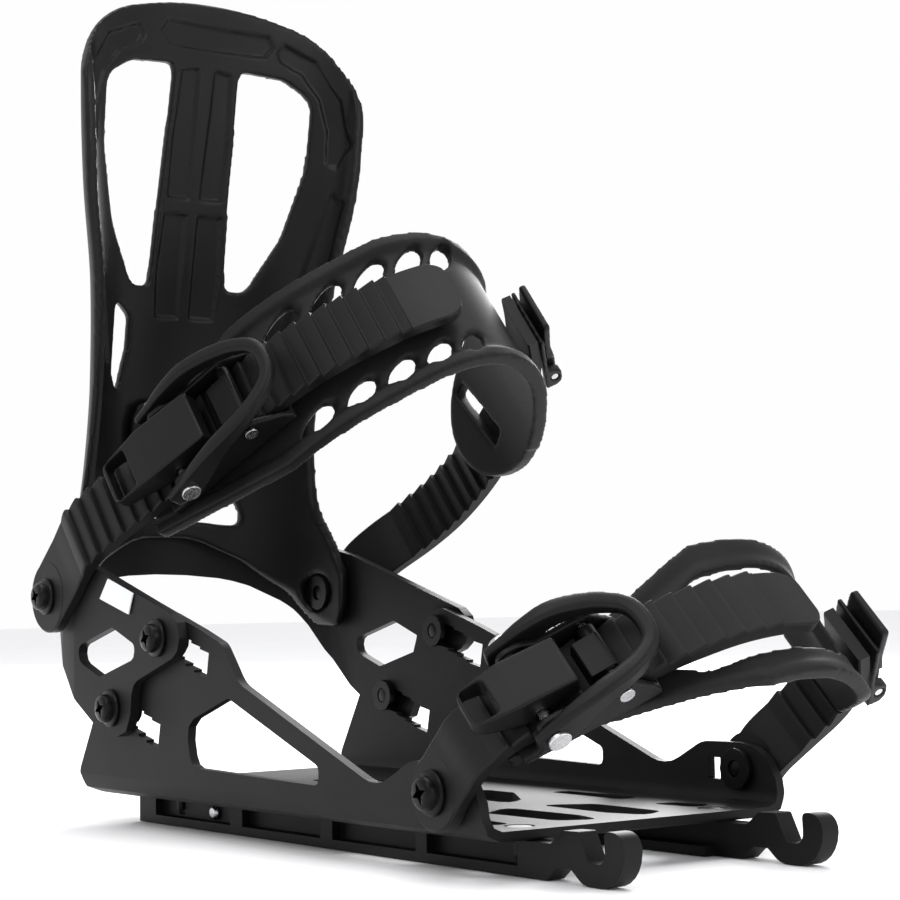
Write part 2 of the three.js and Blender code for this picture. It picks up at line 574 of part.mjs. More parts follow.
function buckle(name, frame, { half, length, under }) {
  const k = length;
  const lever = { x: LEVER_PIN.x * k, z: LEVER_PIN.z };
  const pawl = { x: PAWL_PIN.x * k, z: PAWL_PIN.z };
  const wallIn = half + 1;
  const wallOut = half + 3.2;
  const armIn = wallOut + 0.5;
  const armOut = armIn + 2.8;

  const floor = box(-26 * k, 30 * k, -wallOut, wallOut, -5.2, -2.4);
  const cheek = outline([
    [(-26 * k), -4.9, 1], [lever.x - 4, -1, 2], [lever.x - 4, 9.5, 3.9], [lever.x + 4, 9.5, 3.9],
    [lever.x + 8, 7, 4], [pawl.x + 2, 8.2, 3], [29 * k, -1, 4], [29 * k, -4.9, 1],
  ]);
  const base = join([
    floor, prism('y', cheek, wallIn, wallOut, 2), prism('y', cheek, -wallOut, -wallIn, 2),
  ]);
  const reach = armOut + 4;
  piece(`${name}_buckle_base`, cut(base, [
    rodY(2.1, lever.x, lever.z, -reach, reach), rodY(1.7, pawl.x, pawl.z, -reach, reach),
    rodZ(2, 25 * k, 0, -8, 2),
  ]), 'nylon', frame);

  const ring = outline([
    [-27 * k, -armOut + 2, 2], [-17 * k, -armOut, 6], [22 * k, -armOut, 8],
    [36 * k, -armOut + 6, 5], [36 * k, armOut - 6, 5], [22 * k, armOut, 8],
    [-17 * k, armOut, 6], [-27 * k, armOut - 2, 2],
  ]);
  const window = outline([
    [-40, -half + 0.5], [18 * k, -half + 0.5, 4], [29 * k, -half + 6, 3], [29 * k, half - 6, 3],
    [18 * k, half - 0.5, 4], [-40, half - 0.5],
  ]);
  const rearRoom = [-1, 1].map((side) => {
    const edges = [side * (half - 2), side * armIn];
    return box(-30 * k, lever.x + 5, Math.min(...edges), Math.max(...edges), 0, 20);
  });
  const frameTop = cut(prism('z', ring, 9.6, 14, 2), [prism('z', window, 0, 20, 2), ...rearRoom]);
  const arm = outline([
    [lever.x - 4.5, 1, 4], [lever.x + 6, 1, 4], [lever.x + 16, 9.8], [lever.x + 16, 12],
    [lever.x - 4.5, 12, 4],
  ]);
  const arms = [[armIn, armOut], [-armOut, -armIn]].map(([a, b]) => prism('y', arm, a, b, 2));
  piece(`${name}_buckle_lever`, cut(join([frameTop, ...arms]), [
    rodY(2.1, lever.x, lever.z, -reach, reach),
  ]), 'nylon', frame);

  const tabHalf = half - 2.4;
  const tabPlan = outline([
    [-38 * k, -tabHalf + 2, 3], [-20 * k, -tabHalf, 3], [3 * k, -tabHalf, 1], [3 * k, tabHalf, 1],
    [-20 * k, tabHalf, 3], [-38 * k, tabHalf - 2, 3],
  ]);
  const tabSide = outline([
    [-39 * k, 7, 1], [lever.x - 4.5, 3.6, 2], [lever.x - 2, 2.3, 1], [lever.x + 2, 2.3, 1],
    [lever.x + 5, 6.4, 1], [4 * k, 6.4, 1], [4 * k, 12.5, 2], [-20 * k, 13.5, 4], [-39 * k, 12, 2],
  ]);
  const tab = common(prism('z', tabPlan, 0, 16, 2), prism('y', tabSide, -half, half, 2));
  const tabWindow = box(-34 * k, -27 * k, -tabHalf + 5, tabHalf - 5, 0, 20);
  piece(`${name}_release_tab`, cut(tab, [
    tabWindow, rodY(1.95, lever.x, lever.z, -reach, reach),
  ]), 'nylon', frame);

  const pawlSide = outline([
    [pawl.x - 9 * k, 2.3, 0.6], [pawl.x + 1, 2.5, 1], [pawl.x + 3, pawl.z, 1.5],
    [pawl.x + 2, 8, 1.5], [pawl.x - 8 * k, 7.2, 1],
  ]);
  piece(`${name}_pawl`, cut(prism('y', pawlSide, -half + 4.5, half - 4.5, 2), [
    rodY(1.75, pawl.x, pawl.z, -reach, reach),
  ]), 'screw', frame);

  const rivetHead = (radius, y) => rodY(radius, lever.x, lever.z, y, y + Math.sign(y) * 1.4, 20);
  piece(`${name}_lever_rivet`, join([
    rodY(1.6, lever.x, lever.z, -armOut - 0.6, armOut + 0.6),
    rivetHead(3.4, armOut + GAP), rivetHead(3.4, -armOut - GAP),
  ]), 'silver', frame);
  const smallHead = (y) => rodY(2.4, pawl.x, pawl.z, y, y + Math.sign(y) * 1.2);
  piece(`${name}_pawl_rivet`, join([
    rodY(1.4, pawl.x, pawl.z, -wallOut - 0.6, wallOut + 0.6),
    smallHead(wallOut + GAP), smallHead(-wallOut - GAP),
  ]), 'silver', frame);
  const coilStart = half - 4.2;
  piece(`${name}_pawl_spring`, tubeY(2.7, 1.75, pawl.x, pawl.z, coilStart, coilStart + 3.4),
    'silver', frame);
  piece(`${name}_base_screw`, join([
    rodZ(1.6, 25 * k, 0, under - 0.8, -2.3), rodZ(3.2, 25 * k, 0, under - 1, under),
  ]), 'silver', frame);
}

function adjuster(name, frame, half) {
  const pin = { x: 9, z: 6 };
  const floor = box(-13, 5.2, -half, half, 2.3, 3.8);
  const lug = outline([[3.5, 2.4], [14, 2.4], [14, 7, 2], [11.5, 8.8, 2], [6.5, 8.8, 2]]);
  const lugs = [[half - 3.4, half], [-half, -half + 3.4]].map(([a, b]) => prism('y', lug, a, b, 2));
  piece(`${name}_adjuster_base`, cut(join([floor, ...lugs]), [
    rodY(1.75, pin.x, pin.z, -half - 2, half + 2),
  ]), 'nylon', frame);
  const side = outline([
    [-18, 4.9, 1], [-8, 4.3, 3], [6, 4.3, 1], [12, 4.1, 1.8], [12, 8.2, 1.8], [4, 8.2, 2],
    [-6, 6.6, 4], [-18, 7.4, 1],
  ]);
  const latch = common(
    prism('y', side, -half, half, 2),
    prism('z', outline([
      [-19, -half + 2, 3], [0, -half + 2, 1], [2, -half + 3.8], [13, -half + 3.8],
      [13, half - 3.8], [2, half - 3.8], [0, half - 2, 1], [-19, half - 2, 3],
    ]), 0, 20, 2),
  );
  piece(`${name}_adjuster_latch`, cut(latch, [
    rodY(1.75, pin.x, pin.z, -half - 2, half + 2),
  ]), 'nylon', frame);
  piece(`${name}_adjuster_pin`, rodY(1.4, pin.x, pin.z, -half + 0.2, half - 0.2), 'silver', frame);
}

// ---------------------------------------------------------------- ankle strap
const ANKLE_PLANE = strapPlane(HINGE, 40);
const STRAP_THICKNESS = 3.6;
const ANKLE_EYE_Y = HOOP_INNER + HOOP_THICKNESS + GAP;
const ANKLE_BUCKLE = { at: [-36, 87], turn: 63.9 };

const ANKLE_LADDER_LINE = [
  [-63.1, 2], [-63.1, 16], [-63.2, 31], [-57.6, 45.5], [-49.4, 60], [-42.6, 73.5], [-36, 87],
  [-29.4, 100.5], [-22.8, 114], [-12, 129], [2, 143], [15, 153.2], [28, 160],
];
const ANKLE_PAD_LINE = [
  [-44.5, 50], [-41.4, 56.2], [-34.8, 69.7], [-28.2, 83.2], [-21.6, 96.7], [-15, 110.2],
  [-5.5, 123.5], [6.5, 136.3], [20, 148.5], [33, 154.2], [46, 153], [58.5, 145],
  [67.5, 132.5], [74.5, 117.5], [78.6, 100], [78.6, 78],
];
const ANKLE_CONNECTOR_LINE = [
  [63.1, 2], [63.6, 14], [68.5, 26], [77, 40], [83, 54], [86, 70], [86.4, 86], [85, 102],
  [80.8, 118.6], [73.3, 134.6], [63.8, 147.8],
];

function ankleStrap() {
  const eye = (sign) => strapEye(
    ANKLE_PLANE, 13, sign * ANKLE_EYE_Y, sign * (ANKLE_EYE_Y + STRAP_THICKNESS + 0.4),
  );
  const bore = (sign) => strapEye(ANKLE_PLANE, 4.9, sign * 50, sign * 72);
  const ladder = band(ANKLE_PLANE, ANKLE_LADDER_LINE, STRAP_THICKNESS, -13, 13, 30);
  piece('ankle_ladder', cut(join([ladder, eye(-1)]), [bore(-1)]), 'rubbery');
  const connector = band(ANKLE_PLANE, ANKLE_CONNECTOR_LINE, STRAP_THICKNESS, -12, 12, 20);
  piece('ankle_connector', cut(join([connector, eye(1)]), [bore(1)]), 'rubbery');

  const pad = band(ANKLE_PLANE, ANKLE_PAD_LINE, 5.6, -29, 36, 24);
  const windows = [];
  for (let i = 0; i < 6; i += 1) {
    const y = -23 + i * 12;
    windows.push([[y - 7, 17], [y + 2, 17], [y + 7, 28], [y - 2, 28]]);
  }
  for (let i = 0; i < 5; i += 1) {
    const y = -12 + i * 10.7;
    windows.push([[y - 5, -24], [y + 2, -24], [y + 5, -16], [y - 2, -16]]);
  }
  const trims = [
    [[-70, 44], [-70, 15], [-46, 17], [-22, 36, 10], [-22, 44]],
    [[18, 44], [18, 36.2], [56, 29, 10], [95, 26], [95, 44]],
    [[-70, -40], [4, -40], [4, -29.3], [-17, -26, 8], [-42, -14, 8], [-70, -13]],
  ];
  // the flap beyond the last hole ends in a round tongue, outlined here in [s, w]
  const tongue = besideLoop(ANKLE_PLANE, [
    [60, -50], [60, 60], [118, 60], [98, 34, 10], [82, 20, 12], [79, 2, 10], [88, -20, 12],
    [112, -30, 10], [125, -50],
  ], 66, 95);
  const cuts = [...windows, ...trims].map((corners) => acrossLoop(ANKLE_PLANE, corners, 20, 180));
  cuts.push(tongue);
  const frame = strapFrame(ANKLE_PLANE, ANKLE_BUCKLE.at, ANKLE_BUCKLE.turn);
  const screwHole = rodZ(2, 25 * BUCKLE.ankle.length, 0, -14, -4);
  screwHole.applyMatrix4(frame.matrixWorld);
  piece('ankle_pad', cut(pad, [...cuts, screwHole]), 'rubbery');
  buckle('ankle', frame, BUCKLE.ankle);
  adjuster('ankle', strapFrame(ANKLE_PLANE, [71.7, 137.3], -54), 13);
}

// ---------------------------------------------------------------- toe strap
const TOE_PLANE = strapPlane(TOE_BOLT, 45);
const TOE_EYE_Y = WALL_OUTER + GAP;
const TOE_BUCKLE = { at: [-37.5, 41.4], turn: 38 };

const TOE_LADDER_LINE = [
  [-59.4, 2], [-59.4, 11], [-58.8, 20], [-53.2, 29.2], [-45.4, 35.2], [-37.5, 41.4],
  [-29.6, 47.6], [-18.6, 56.2], [-8, 62.6], [5, 68.4], [19, 71.6], [33, 72.2],
];
const TOE_CAP_LINE = [
  [-51, 21.4], [-46.5, 24.9], [-38, 31.6], [-30, 37.8], [-22, 44], [-13, 51], [-3, 57.8],
  [10, 64.2], [28, 66.6], [43, 62.2], [54.6, 52.8], [61, 40],
];
const TOE_CONNECTOR_LINE = [
  [59.4, 2], [59.6, 10], [63.6, 21], [67.4, 31], [68, 40], [65.4, 49.5], [59.5, 58],
];

function toeStrap() {
  const eye = (sign) => strapEye(
    TOE_PLANE, 11, sign * TOE_EYE_Y, sign * (TOE_EYE_Y + STRAP_THICKNESS + 0.4),
  );
  const bore = (sign) => strapEye(TOE_PLANE, 4.6, sign * 50, sign * 70);
  const ladder = band(TOE_PLANE, TOE_LADDER_LINE, STRAP_THICKNESS, -10.5, 10.5, 24);
  piece('toe_ladder', cut(join([ladder, eye(-1)]), [bore(-1)]), 'rubbery');
  const connector = band(TOE_PLANE, TOE_CONNECTOR_LINE, STRAP_THICKNESS, -10, 10, 14);
  piece('toe_connector', cut(join([connector, eye(1)]), [bore(1)]), 'rubbery');

  const cap = band(TOE_PLANE, TOE_CAP_LINE, 4.4, -24, 27, 24);
  const cuts = [
    [[-2, -13, 6], [40, -13, 6], [53, -8, 6], [53, 8, 6], [42, 15, 6], [-2, 15, 6], [-14, 0, 8]],
    [[53, -40], [80, -40], [80, -12], [60, -12, 4]],
    [[53, 40], [60, 12, 4], [80, 12], [80, 40]],
    [[-80, 40], [-80, 9], [-30, 11], [-12, 28, 20], [-12, 40]],
    [[-80, -40], [-12, -40], [-12, -28, 20], [-30, -11], [-80, -9]],
  ].map((corners) => acrossLoop(TOE_PLANE, corners, 5, 90));
  const frame = strapFrame(TOE_PLANE, TOE_BUCKLE.at, TOE_BUCKLE.turn);
  const screwHole = rodZ(2, 25 * BUCKLE.toe.length, 0, -14, -4);
  screwHole.applyMatrix4(frame.matrixWorld);
  piece('toe_cap', cut(cap, [...cuts, screwHole]), 'rubbery');
  buckle('toe', frame, BUCKLE.toe);
  adjuster('toe', strapFrame(TOE_PLANE, [65.6, 49], -62), 11);
}

// ---------------------------------------------------------------- assembly
piece('baseplate', baseplate(), 'anodised');
piece('heel_hoop', heelHoop(), 'anodised');
piece('highback', highback(), 'nylon');
piece('highback_pad', backPad(), 'rubbery');
piece('hoop_label', hoopLabel(), 'label');
leanAdjuster();
ankleStrap();
toeStrap();

function railScrew(side) {
  const seat = side * (RAIL_OUTER - POCKET_DEPTH + GAP);
  const profile = [[0, 0], [2.6, 0], [2.6, 0.8], [1.8, 1.7], [0, 1.8]];
  const head = turnedY(profile, RAIL_SCREW.x, RAIL_SCREW.z, seat, side);
  return join([head, rodY(1.6, RAIL_SCREW.x, RAIL_SCREW.z, seat + side * 0.4, side * 31)]);
}

for (const { name, sign } of SIDES) {
  piece(`${name}_rail`, rail(sign), 'anodised');
  piece(`${name}_rail_screw`, railScrew(sign), 'silver');
  FLOOR_SCREW_X.forEach((x, i) => {
    const screw = conical(3.7, 1.5, -8, 2.4, x, sign * FLOOR_SCREW_Y, -0.1);
    piece(`${name}_floor_screw_${i + 1}`, screw, 'screw');
  });
  for (const [place, { x, z }] of Object.entries(HOOP_BOLTS)) {
    const seat = sign * (HOOP_INNER + HOOP_THICKNESS + GAP);
    piece(`${name}_hoop_bolt_${place}`, boltWithHead(HEAD_PROFILE, 2.4, x, z, seat, sign, 9.2), 'screw');
    const nut = flangedNut(5.7, 3.5, 2.7, x, z, sign * (WALL_INNER - GAP), 2, sign * (WALL_OUTER - 0.2));
    piece(`${name}_hoop_nut_${place}`, nut, 'screw');
  }
  const hingeSeat = sign * (ANKLE_EYE_Y + STRAP_THICKNESS + 0.4 + GAP);
  piece(`${name}_hinge_bolt`,
    boltWithHead(HEAD_PROFILE, 2.6, HINGE.x, HINGE.z, hingeSeat, sign, 15), 'screw');
  piece(`${name}_hinge_nut`, flangedNut(
    6.8, 4.5, 2.9, HINGE.x, HINGE.z, sign * HINGE_FACE, 1.6, sign * (ANKLE_EYE_Y + STRAP_THICKNESS),
  ), 'screw');
  const toeSeat = sign * (TOE_EYE_Y + STRAP_THICKNESS + 0.4 + GAP);
  piece(`${name}_toe_bolt`,
    boltWithHead(HEAD_PROFILE, 2.4, TOE_BOLT.x, TOE_BOLT.z, toeSeat, sign, 9.4), 'screw');
  piece(`${name}_toe_nut`, flangedNut(
    6.4, 4.2, 2.7, TOE_BOLT.x, TOE_BOLT.z, sign * (WALL_INNER - GAP), 2,
    sign * (TOE_EYE_Y + STRAP_THICKNESS),
  ), 'screw');
}

export default binding;
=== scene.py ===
"""A two-strap splitboard binding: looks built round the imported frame, in metres."""
import json
import math

import bmesh
import bpy
from mathutils import Matrix, Vector

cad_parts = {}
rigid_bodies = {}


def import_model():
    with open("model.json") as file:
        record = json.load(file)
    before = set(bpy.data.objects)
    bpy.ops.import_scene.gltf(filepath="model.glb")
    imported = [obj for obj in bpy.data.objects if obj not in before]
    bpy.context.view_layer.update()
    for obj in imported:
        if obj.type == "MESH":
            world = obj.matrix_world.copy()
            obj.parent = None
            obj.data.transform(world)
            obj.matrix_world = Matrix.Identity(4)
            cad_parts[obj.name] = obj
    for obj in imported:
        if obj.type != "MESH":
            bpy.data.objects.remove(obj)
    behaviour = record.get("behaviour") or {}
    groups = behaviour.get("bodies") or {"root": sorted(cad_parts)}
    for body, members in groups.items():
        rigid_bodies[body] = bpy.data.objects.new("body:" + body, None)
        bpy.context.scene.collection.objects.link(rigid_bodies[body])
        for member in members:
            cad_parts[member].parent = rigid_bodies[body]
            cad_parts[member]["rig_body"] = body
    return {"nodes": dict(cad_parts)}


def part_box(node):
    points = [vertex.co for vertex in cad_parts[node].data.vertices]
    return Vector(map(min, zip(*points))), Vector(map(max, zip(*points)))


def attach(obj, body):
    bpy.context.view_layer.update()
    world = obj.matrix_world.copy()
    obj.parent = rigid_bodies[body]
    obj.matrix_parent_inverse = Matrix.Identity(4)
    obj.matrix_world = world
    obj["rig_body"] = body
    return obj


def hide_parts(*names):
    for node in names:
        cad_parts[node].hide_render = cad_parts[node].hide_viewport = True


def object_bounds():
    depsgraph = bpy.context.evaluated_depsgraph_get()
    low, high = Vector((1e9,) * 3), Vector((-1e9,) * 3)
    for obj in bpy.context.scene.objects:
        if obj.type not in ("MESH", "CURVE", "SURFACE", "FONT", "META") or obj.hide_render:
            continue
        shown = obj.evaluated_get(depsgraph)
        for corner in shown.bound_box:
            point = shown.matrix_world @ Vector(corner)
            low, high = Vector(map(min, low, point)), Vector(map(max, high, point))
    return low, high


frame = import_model()
NODES = frame["nodes"]
CAD_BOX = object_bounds()
MM = 0.001

# ------------------------------------------------------------------ driving dimensions
HINGE = Vector((-129.8, 0, 66.7)) * MM
TOE_BOLT = Vector((101.4, 0, 10.3)) * MM
ANKLE_TILT = math.radians(40)
TOE_TILT = math.radians(45)
STRAP_THICKNESS = 3.6 * MM
TOOTH_PITCH = 6.0 * MM
TOOTH_HEIGHT = 1.5 * MM
HINGE_FACE = 51.3                 # mm from the centre to the highback's hinge seats
HINGE_BORE = 4.9                  # mm radius
HINGE_SEAT = 7.4                  # mm radius
LEAN_SCREWS = (124, 146)          # mm heights
LEAN_SCREW_BORE = 1.9             # mm radius
CLEARANCE = 0.3                   # mm between touching pieces
ANKLE_HALF, ANKLE_LENGTH = 13, 1.0        # ankle buckle: half width in mm, length factor
TOE_HALF, TOE_LENGTH = 10.5, 0.76         # toe buckle
GLOSS = 0.17


# ------------------------------------------------------------------ materials
def principled(name, base, roughness, metallic):
    material = bpy.data.materials.new(name)
    material.use_nodes = True
    shader = material.node_tree.nodes["Principled BSDF"]
    shader.inputs["Metallic"].default_value = metallic
    shader.inputs["Roughness"].default_value = roughness
    shader.inputs["Base Color"].default_value = (*base, 1)
    shader.inputs["Specular IOR Level"].default_value = 0.5 if metallic > 0.9 else GLOSS
    return material, shader


def add_noise(material, scale, detail=3.0, stretch=(1, 1, 1)):
    nodes = material.node_tree.nodes
    links = material.node_tree.links
    place = nodes.new("ShaderNodeTexCoord")
    mapping = nodes.new("ShaderNodeMapping")
    mapping.inputs["Scale"].default_value = stretch
    noise = nodes.new("ShaderNodeTexNoise")
    noise.inputs["Scale"].default_value = scale
    noise.inputs["Detail"].default_value = detail
    links.new(place.outputs["Object"], mapping.inputs["Vector"])
    links.new(mapping.outputs["Vector"], noise.inputs["Vector"])
    return noise.outputs["Fac"]


def drive_range(material, factor, low, high, socket):
    nodes = material.node_tree.nodes
    spread = nodes.new("ShaderNodeMapRange")
    spread.inputs["To Min"].default_value = low
    spread.inputs["To Max"].default_value = high
    material.node_tree.links.new(factor, spread.inputs["Value"])
    material.node_tree.links.new(spread.outputs["Result"], socket)


def drive_colour(material, factor, dark, light, socket):
    ramp = material.node_tree.nodes.new("ShaderNodeValToRGB")
    ramp.color_ramp.elements[0].position = 0.3
    ramp.color_ramp.elements[0].color = (*dark, 1)
    ramp.color_ramp.elements[1].position = 0.7
    ramp.color_ramp.elements[1].color = (*light, 1)
    material.node_tree.links.new(factor, ramp.inputs["Fac"])
    material.node_tree.links.new(ramp.outputs["Color"], socket)


def add_bump(material, shader, factor, strength, distance):
    bump = material.node_tree.nodes.new("ShaderNodeBump")
    bump.inputs["Strength"].default_value = strength
    bump.inputs["Distance"].default_value = distance
    material.node_tree.links.new(factor, bump.inputs["Height"])
    material.node_tree.links.new(bump.outputs["Normal"], shader.inputs["Normal"])


def surface(name, dark, light, roughness, metallic, grain, bump, stretch=(1, 1, 1)):
    """Mottled colour, uneven gloss and a fine grain, all from object-space noise."""
    low, high = roughness
    material, shader = principled(name, light, (low + high) / 2, metallic)
    cloudy = add_noise(material, 35)
    fine = add_noise(material, grain, 4.0, stretch)
    drive_colour(material, cloudy, dark, light, shader.inputs["Base Color"])
    drive_range(material, fine, low, high, shader.inputs["Roughness"])
    add_bump(material, shader, fine, bump, 0.0002)
    return material


ANODISED = surface(
    "anodised_aluminium", (0.0045, 0.0045, 0.005), (0.008, 0.008, 0.0085), (0.44, 0.56), 0.2,
    900, 0.12, (1, 6, 6),
)
MOULDED = surface(
    "moulded_nylon", (0.0035, 0.0035, 0.0038), (0.006, 0.006, 0.0064), (0.30, 0.42), 0.0,
    1800, 0.15,
)
BUCKLE = surface(
    "buckle_nylon", (0.0035, 0.0035, 0.0038), (0.006, 0.006, 0.0064), (0.36, 0.50), 0.0, 2200, 0.22,
)
STRAP = surface(
    "strap_polymer", (0.0045, 0.0045, 0.0048), (0.0075, 0.0075, 0.0079), (0.40, 0.54), 0.0,
    1500, 0.18,
)
PAD = surface(
    "pad_rubber", (0.005, 0.005, 0.0053), (0.0085, 0.0085, 0.009), (0.44, 0.60), 0.0, 1300, 0.28,
)
BLACK_STEEL = surface(
    "black_oxide", (0.004, 0.004, 0.0043), (0.010, 0.010, 0.0105), (0.24, 0.36), 0.5, 1200, 0.08,
)
BRIGHT_STEEL = surface(
    "bright_steel", (0.42, 0.42, 0.43), (0.62, 0.62, 0.63), (0.20, 0.34), 1.0, 1500, 0.08,
)
LABEL = surface(
    "label_film", (0.70, 0.72, 0.74), (0.78, 0.80, 0.82), (0.42, 0.52), 0.0, 1000, 0.05,
)


# ------------------------------------------------------------------ mesh helpers
def link(name, mesh):
    obj = bpy.data.objects.new(name, mesh)
    bpy.context.scene.collection.objects.link(obj)
    return obj


def solid(name, shape):
    """An object from a closed bmesh, its faces pointing out."""
    bmesh.ops.recalc_face_normals(shape, faces=shape.faces)
    mesh = bpy.data.meshes.new(name)
    shape.to_mesh(mesh)
    shape.free()
    return link(name, mesh)


def skinned(name, shape, rings):
    """A closed solid through rings of vertices that all have the same count."""
    for first, second in zip(rings, rings[1:]):
        for i in range(len(first)):
            j = (i + 1) % len(first)
            shape.faces.new((first[i], first[j], second[j], second[i]))
    shape.faces.new(rings[0])
    shape.faces.new(rings[-1])
    return solid(name, shape)


def bake(obj):
    """Replaces the object's mesh with what its modifiers make of it."""
    graph = bpy.context.evaluated_depsgraph_get()
    mesh = bpy.data.meshes.new_from_object(obj.evaluated_get(graph))
    obj.modifiers.clear()
    obj.data = mesh
    return obj


def copy_of(node, name):
    """A new object with the node's shape, its triangles joined back into flat faces."""
    shape = bmesh.new()
    shape.from_mesh(NODES[node].data)
    bmesh.ops.remove_doubles(shape, verts=shape.verts, dist=2e-6)
    bmesh.ops.dissolve_limit(
        shape, angle_limit=math.radians(0.6), verts=shape.verts, edges=shape.edges,
    )
    mesh = bpy.data.meshes.new(name)
    shape.to_mesh(mesh)
    shape.free()
    return link(name, mesh)


def smooth_by_angle(obj, degrees):
    mesh = obj.data
    mesh.shade_smooth()
    mesh.set_sharp_from_angle(angle=math.radians(degrees))


def edged(obj, width, segments=2):
    """Breaks the sharp edges, as machining or moulding does."""
    bevel = obj.modifiers.new("edges", "BEVEL")
    bevel.width = width
    bevel.segments = segments
    bevel.limit_method = "ANGLE"
    bevel.angle_limit = math.radians(38)
    bevel.use_clamp_overlap = True
    bake(obj)
    smooth_by_angle(obj, 34)
    flat = obj.modifiers.new("flat faces", "WEIGHTED_NORMAL")
    flat.keep_sharp = True
    flat.weight = 100
    return bake(obj)


def softened(obj, voxel, passes):
    """Rounds a form all over: a fine even mesh, relaxed a few times."""
    remesh = obj.modifiers.new("remesh", "REMESH")
    remesh.mode = "VOXEL"
    remesh.voxel_size = voxel
    relax = obj.modifiers.new("relax", "SMOOTH")
    relax.factor = 0.5
    relax.iterations = passes
    bake(obj)
    obj.data.shade_smooth()
    return obj


def boolean(obj, tool, operation):
    change = obj.modifiers.new("boolean", "BOOLEAN")
    change.operation = operation
    change.solver = "EXACT"
    change.object = tool
    bake(obj)
    bpy.data.objects.remove(tool)
    return obj


def finish_piece(obj, material, body, *stands_for):
    obj.data.materials.clear()
    obj.data.materials.append(material)
    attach(obj, body)
    if stands_for:
        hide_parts(*stands_for)
    return obj


def body_of(node):
    return NODES[node]["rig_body"]


# ------------------------------------------------------------------ machined and moulded pieces
def machined(node, material, width):
    piece = edged(copy_of(node, node + "_finished"), width)
    return finish_piece(piece, material, body_of(node), node)


def moulded(node, material, voxel, passes):
    piece = softened(copy_of(node, node + "_finished"), voxel, passes)
    return finish_piece(piece, material, body_of(node), node)


for node in ("baseplate", "heel_hoop", "near_rail", "far_rail"):
    machined(node, ANODISED, 0.45 * MM)

for node in NODES:
    if "_nut" in node or "_floor_screw" in node:
        machined(node, BLACK_STEEL, 0.2 * MM)
    elif node.endswith(("_pin", "_base_screw")):
        machined(node, BRIGHT_STEEL, 0.15 * MM)
    elif node.endswith(("_spring", "_pawl")):
        machined(node, BLACK_STEEL, 0.15 * MM)

moulded("ankle_buckle_base", BUCKLE, 0.55 * MM, 3)
moulded("toe_buckle_base", BUCKLE, 0.5 * MM, 3)
moulded("ankle_adjuster_base", BUCKLE, 0.5 * MM, 3)
moulded("toe_adjuster_base", BUCKLE, 0.5 * MM, 3)
moulded("ankle_adjuster_latch", BUCKLE, 0.5 * MM, 3)
moulded("toe_adjuster_latch", BUCKLE, 0.5 * MM, 3)
moulded("lean_adjuster_block", MOULDED, 0.6 * MM, 3)
moulded("lean_flip_lever", MOULDED, 0.5 * MM, 3)
machined("hoop_label", LABEL, 0.1 * MM)


# ------------------------------------------------------------------ turned heads with a driven recess
def turned(name, profile, segments=40):
    """A turned solid about +Y from [radius, distance along] points, closed on the axis."""
    shape = bmesh.new()
    rings = []
    for radius, along in profile:
        if radius == 0:
            rings.append([shape.verts.new((0, along, 0))])
            continue
        angles = [2 * math.pi * i / segments for i in range(segments)]
        rings.append([
            shape.verts.new((radius * math.cos(a), along, radius * math.sin(a))) for a in angles
        ])
    for first, second in zip(rings, rings[1:]):
        for i in range(segments):
            j = (i + 1) % segments
            corners = [first[i % len(first)], first[j % len(first)],
                       second[j % len(second)], second[i % len(second)]]
            unique = list(dict.fromkeys(corners))
            if len(unique) > 2:
                shape.faces.new(unique)
    return solid(name, shape)


def star_prism(points, outer, inner, low, high):
    """A star-shaped prism along +Y."""
    shape = bmesh.new()
    rings = []
    for along in (low, high):
        ring = []
        for i in range(points * 2):
            radius = outer if i % 2 == 0 else inner
            angle = math.pi * i / points
            x, z = radius * math.cos(angle), radius * math.sin(angle)
            ring.append(shape.verts.new((x, along, z)))
        rings.append(ring)
    shape.faces.new(rings[0])
    shape.faces.new(rings[1])
    for i in range(points * 2):
        j = (i + 1) % (points * 2)
        shape.faces.new((rings[0][i], rings[0][j], rings[1][j], rings[1][i]))
    return solid("star", shape)


def bolt(node, points=4):
    """A domed pan head on a shank, with a driven recess, in the place of the node."""
    low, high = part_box(node)
    side = 1 if high.y > 0 else -1
    radius = (high.x - low.x) / 2
    length = high.y - low.y
    head = 4.6 * MM
    shank = radius * 0.37
    profile = [
        (0, head - length), (shank, head - length), (shank, 0), (radius, 0), (radius, 0.8 * MM),
        (radius * 0.95, 1.2 * MM), (radius * 0.76, 1.5 * MM), (radius * 0.74, 3.3 * MM),
        (radius * 0.66, 4.0 * MM), (radius * 0.5, 4.4 * MM), (0, head - 0.05 * MM),
    ]
    body = turned(node + "_finished", profile)
    recess = star_prism(points, radius * 0.52, radius * 0.2, 1.4 * MM, 6 * MM)
    recess.rotation_euler = (0, math.radians(20), 0)
    bpy.context.view_layer.update()
    boolean(body, recess, "DIFFERENCE")
    turn = Matrix.Rotation(0 if side > 0 else math.pi, 4, "X")
    seat = low.y + length - head if side > 0 else high.y - length + head
    place = Matrix.Translation(((low.x + high.x) / 2, seat, (low.z + high.z) / 2))
    body.data.transform(place @ turn)
    edged(body, 0.18 * MM)
    finish_piece(body, BLACK_STEEL, body_of(node), node)


for node in NODES:
    if "_bolt" in node:
        bolt(node)

for node in NODES:
    if node.endswith(("_rivet", "_rail_screw")):
        machined(node, BRIGHT_STEEL, 0.3 * MM)


def prism_between(name, rings):
    """A solid between two rings of points with the same count."""
    shape = bmesh.new()
    made = [[shape.verts.new(point) for point in ring] for ring in rings]
    shape.faces.new(made[0])
    shape.faces.new(made[1])
    count = len(made[0])
    for i in range(count):
        j = (i + 1) % count
        shape.faces.new((made[0][i], made[0][j], made[1][j], made[1][i]))
    return solid(name, shape)


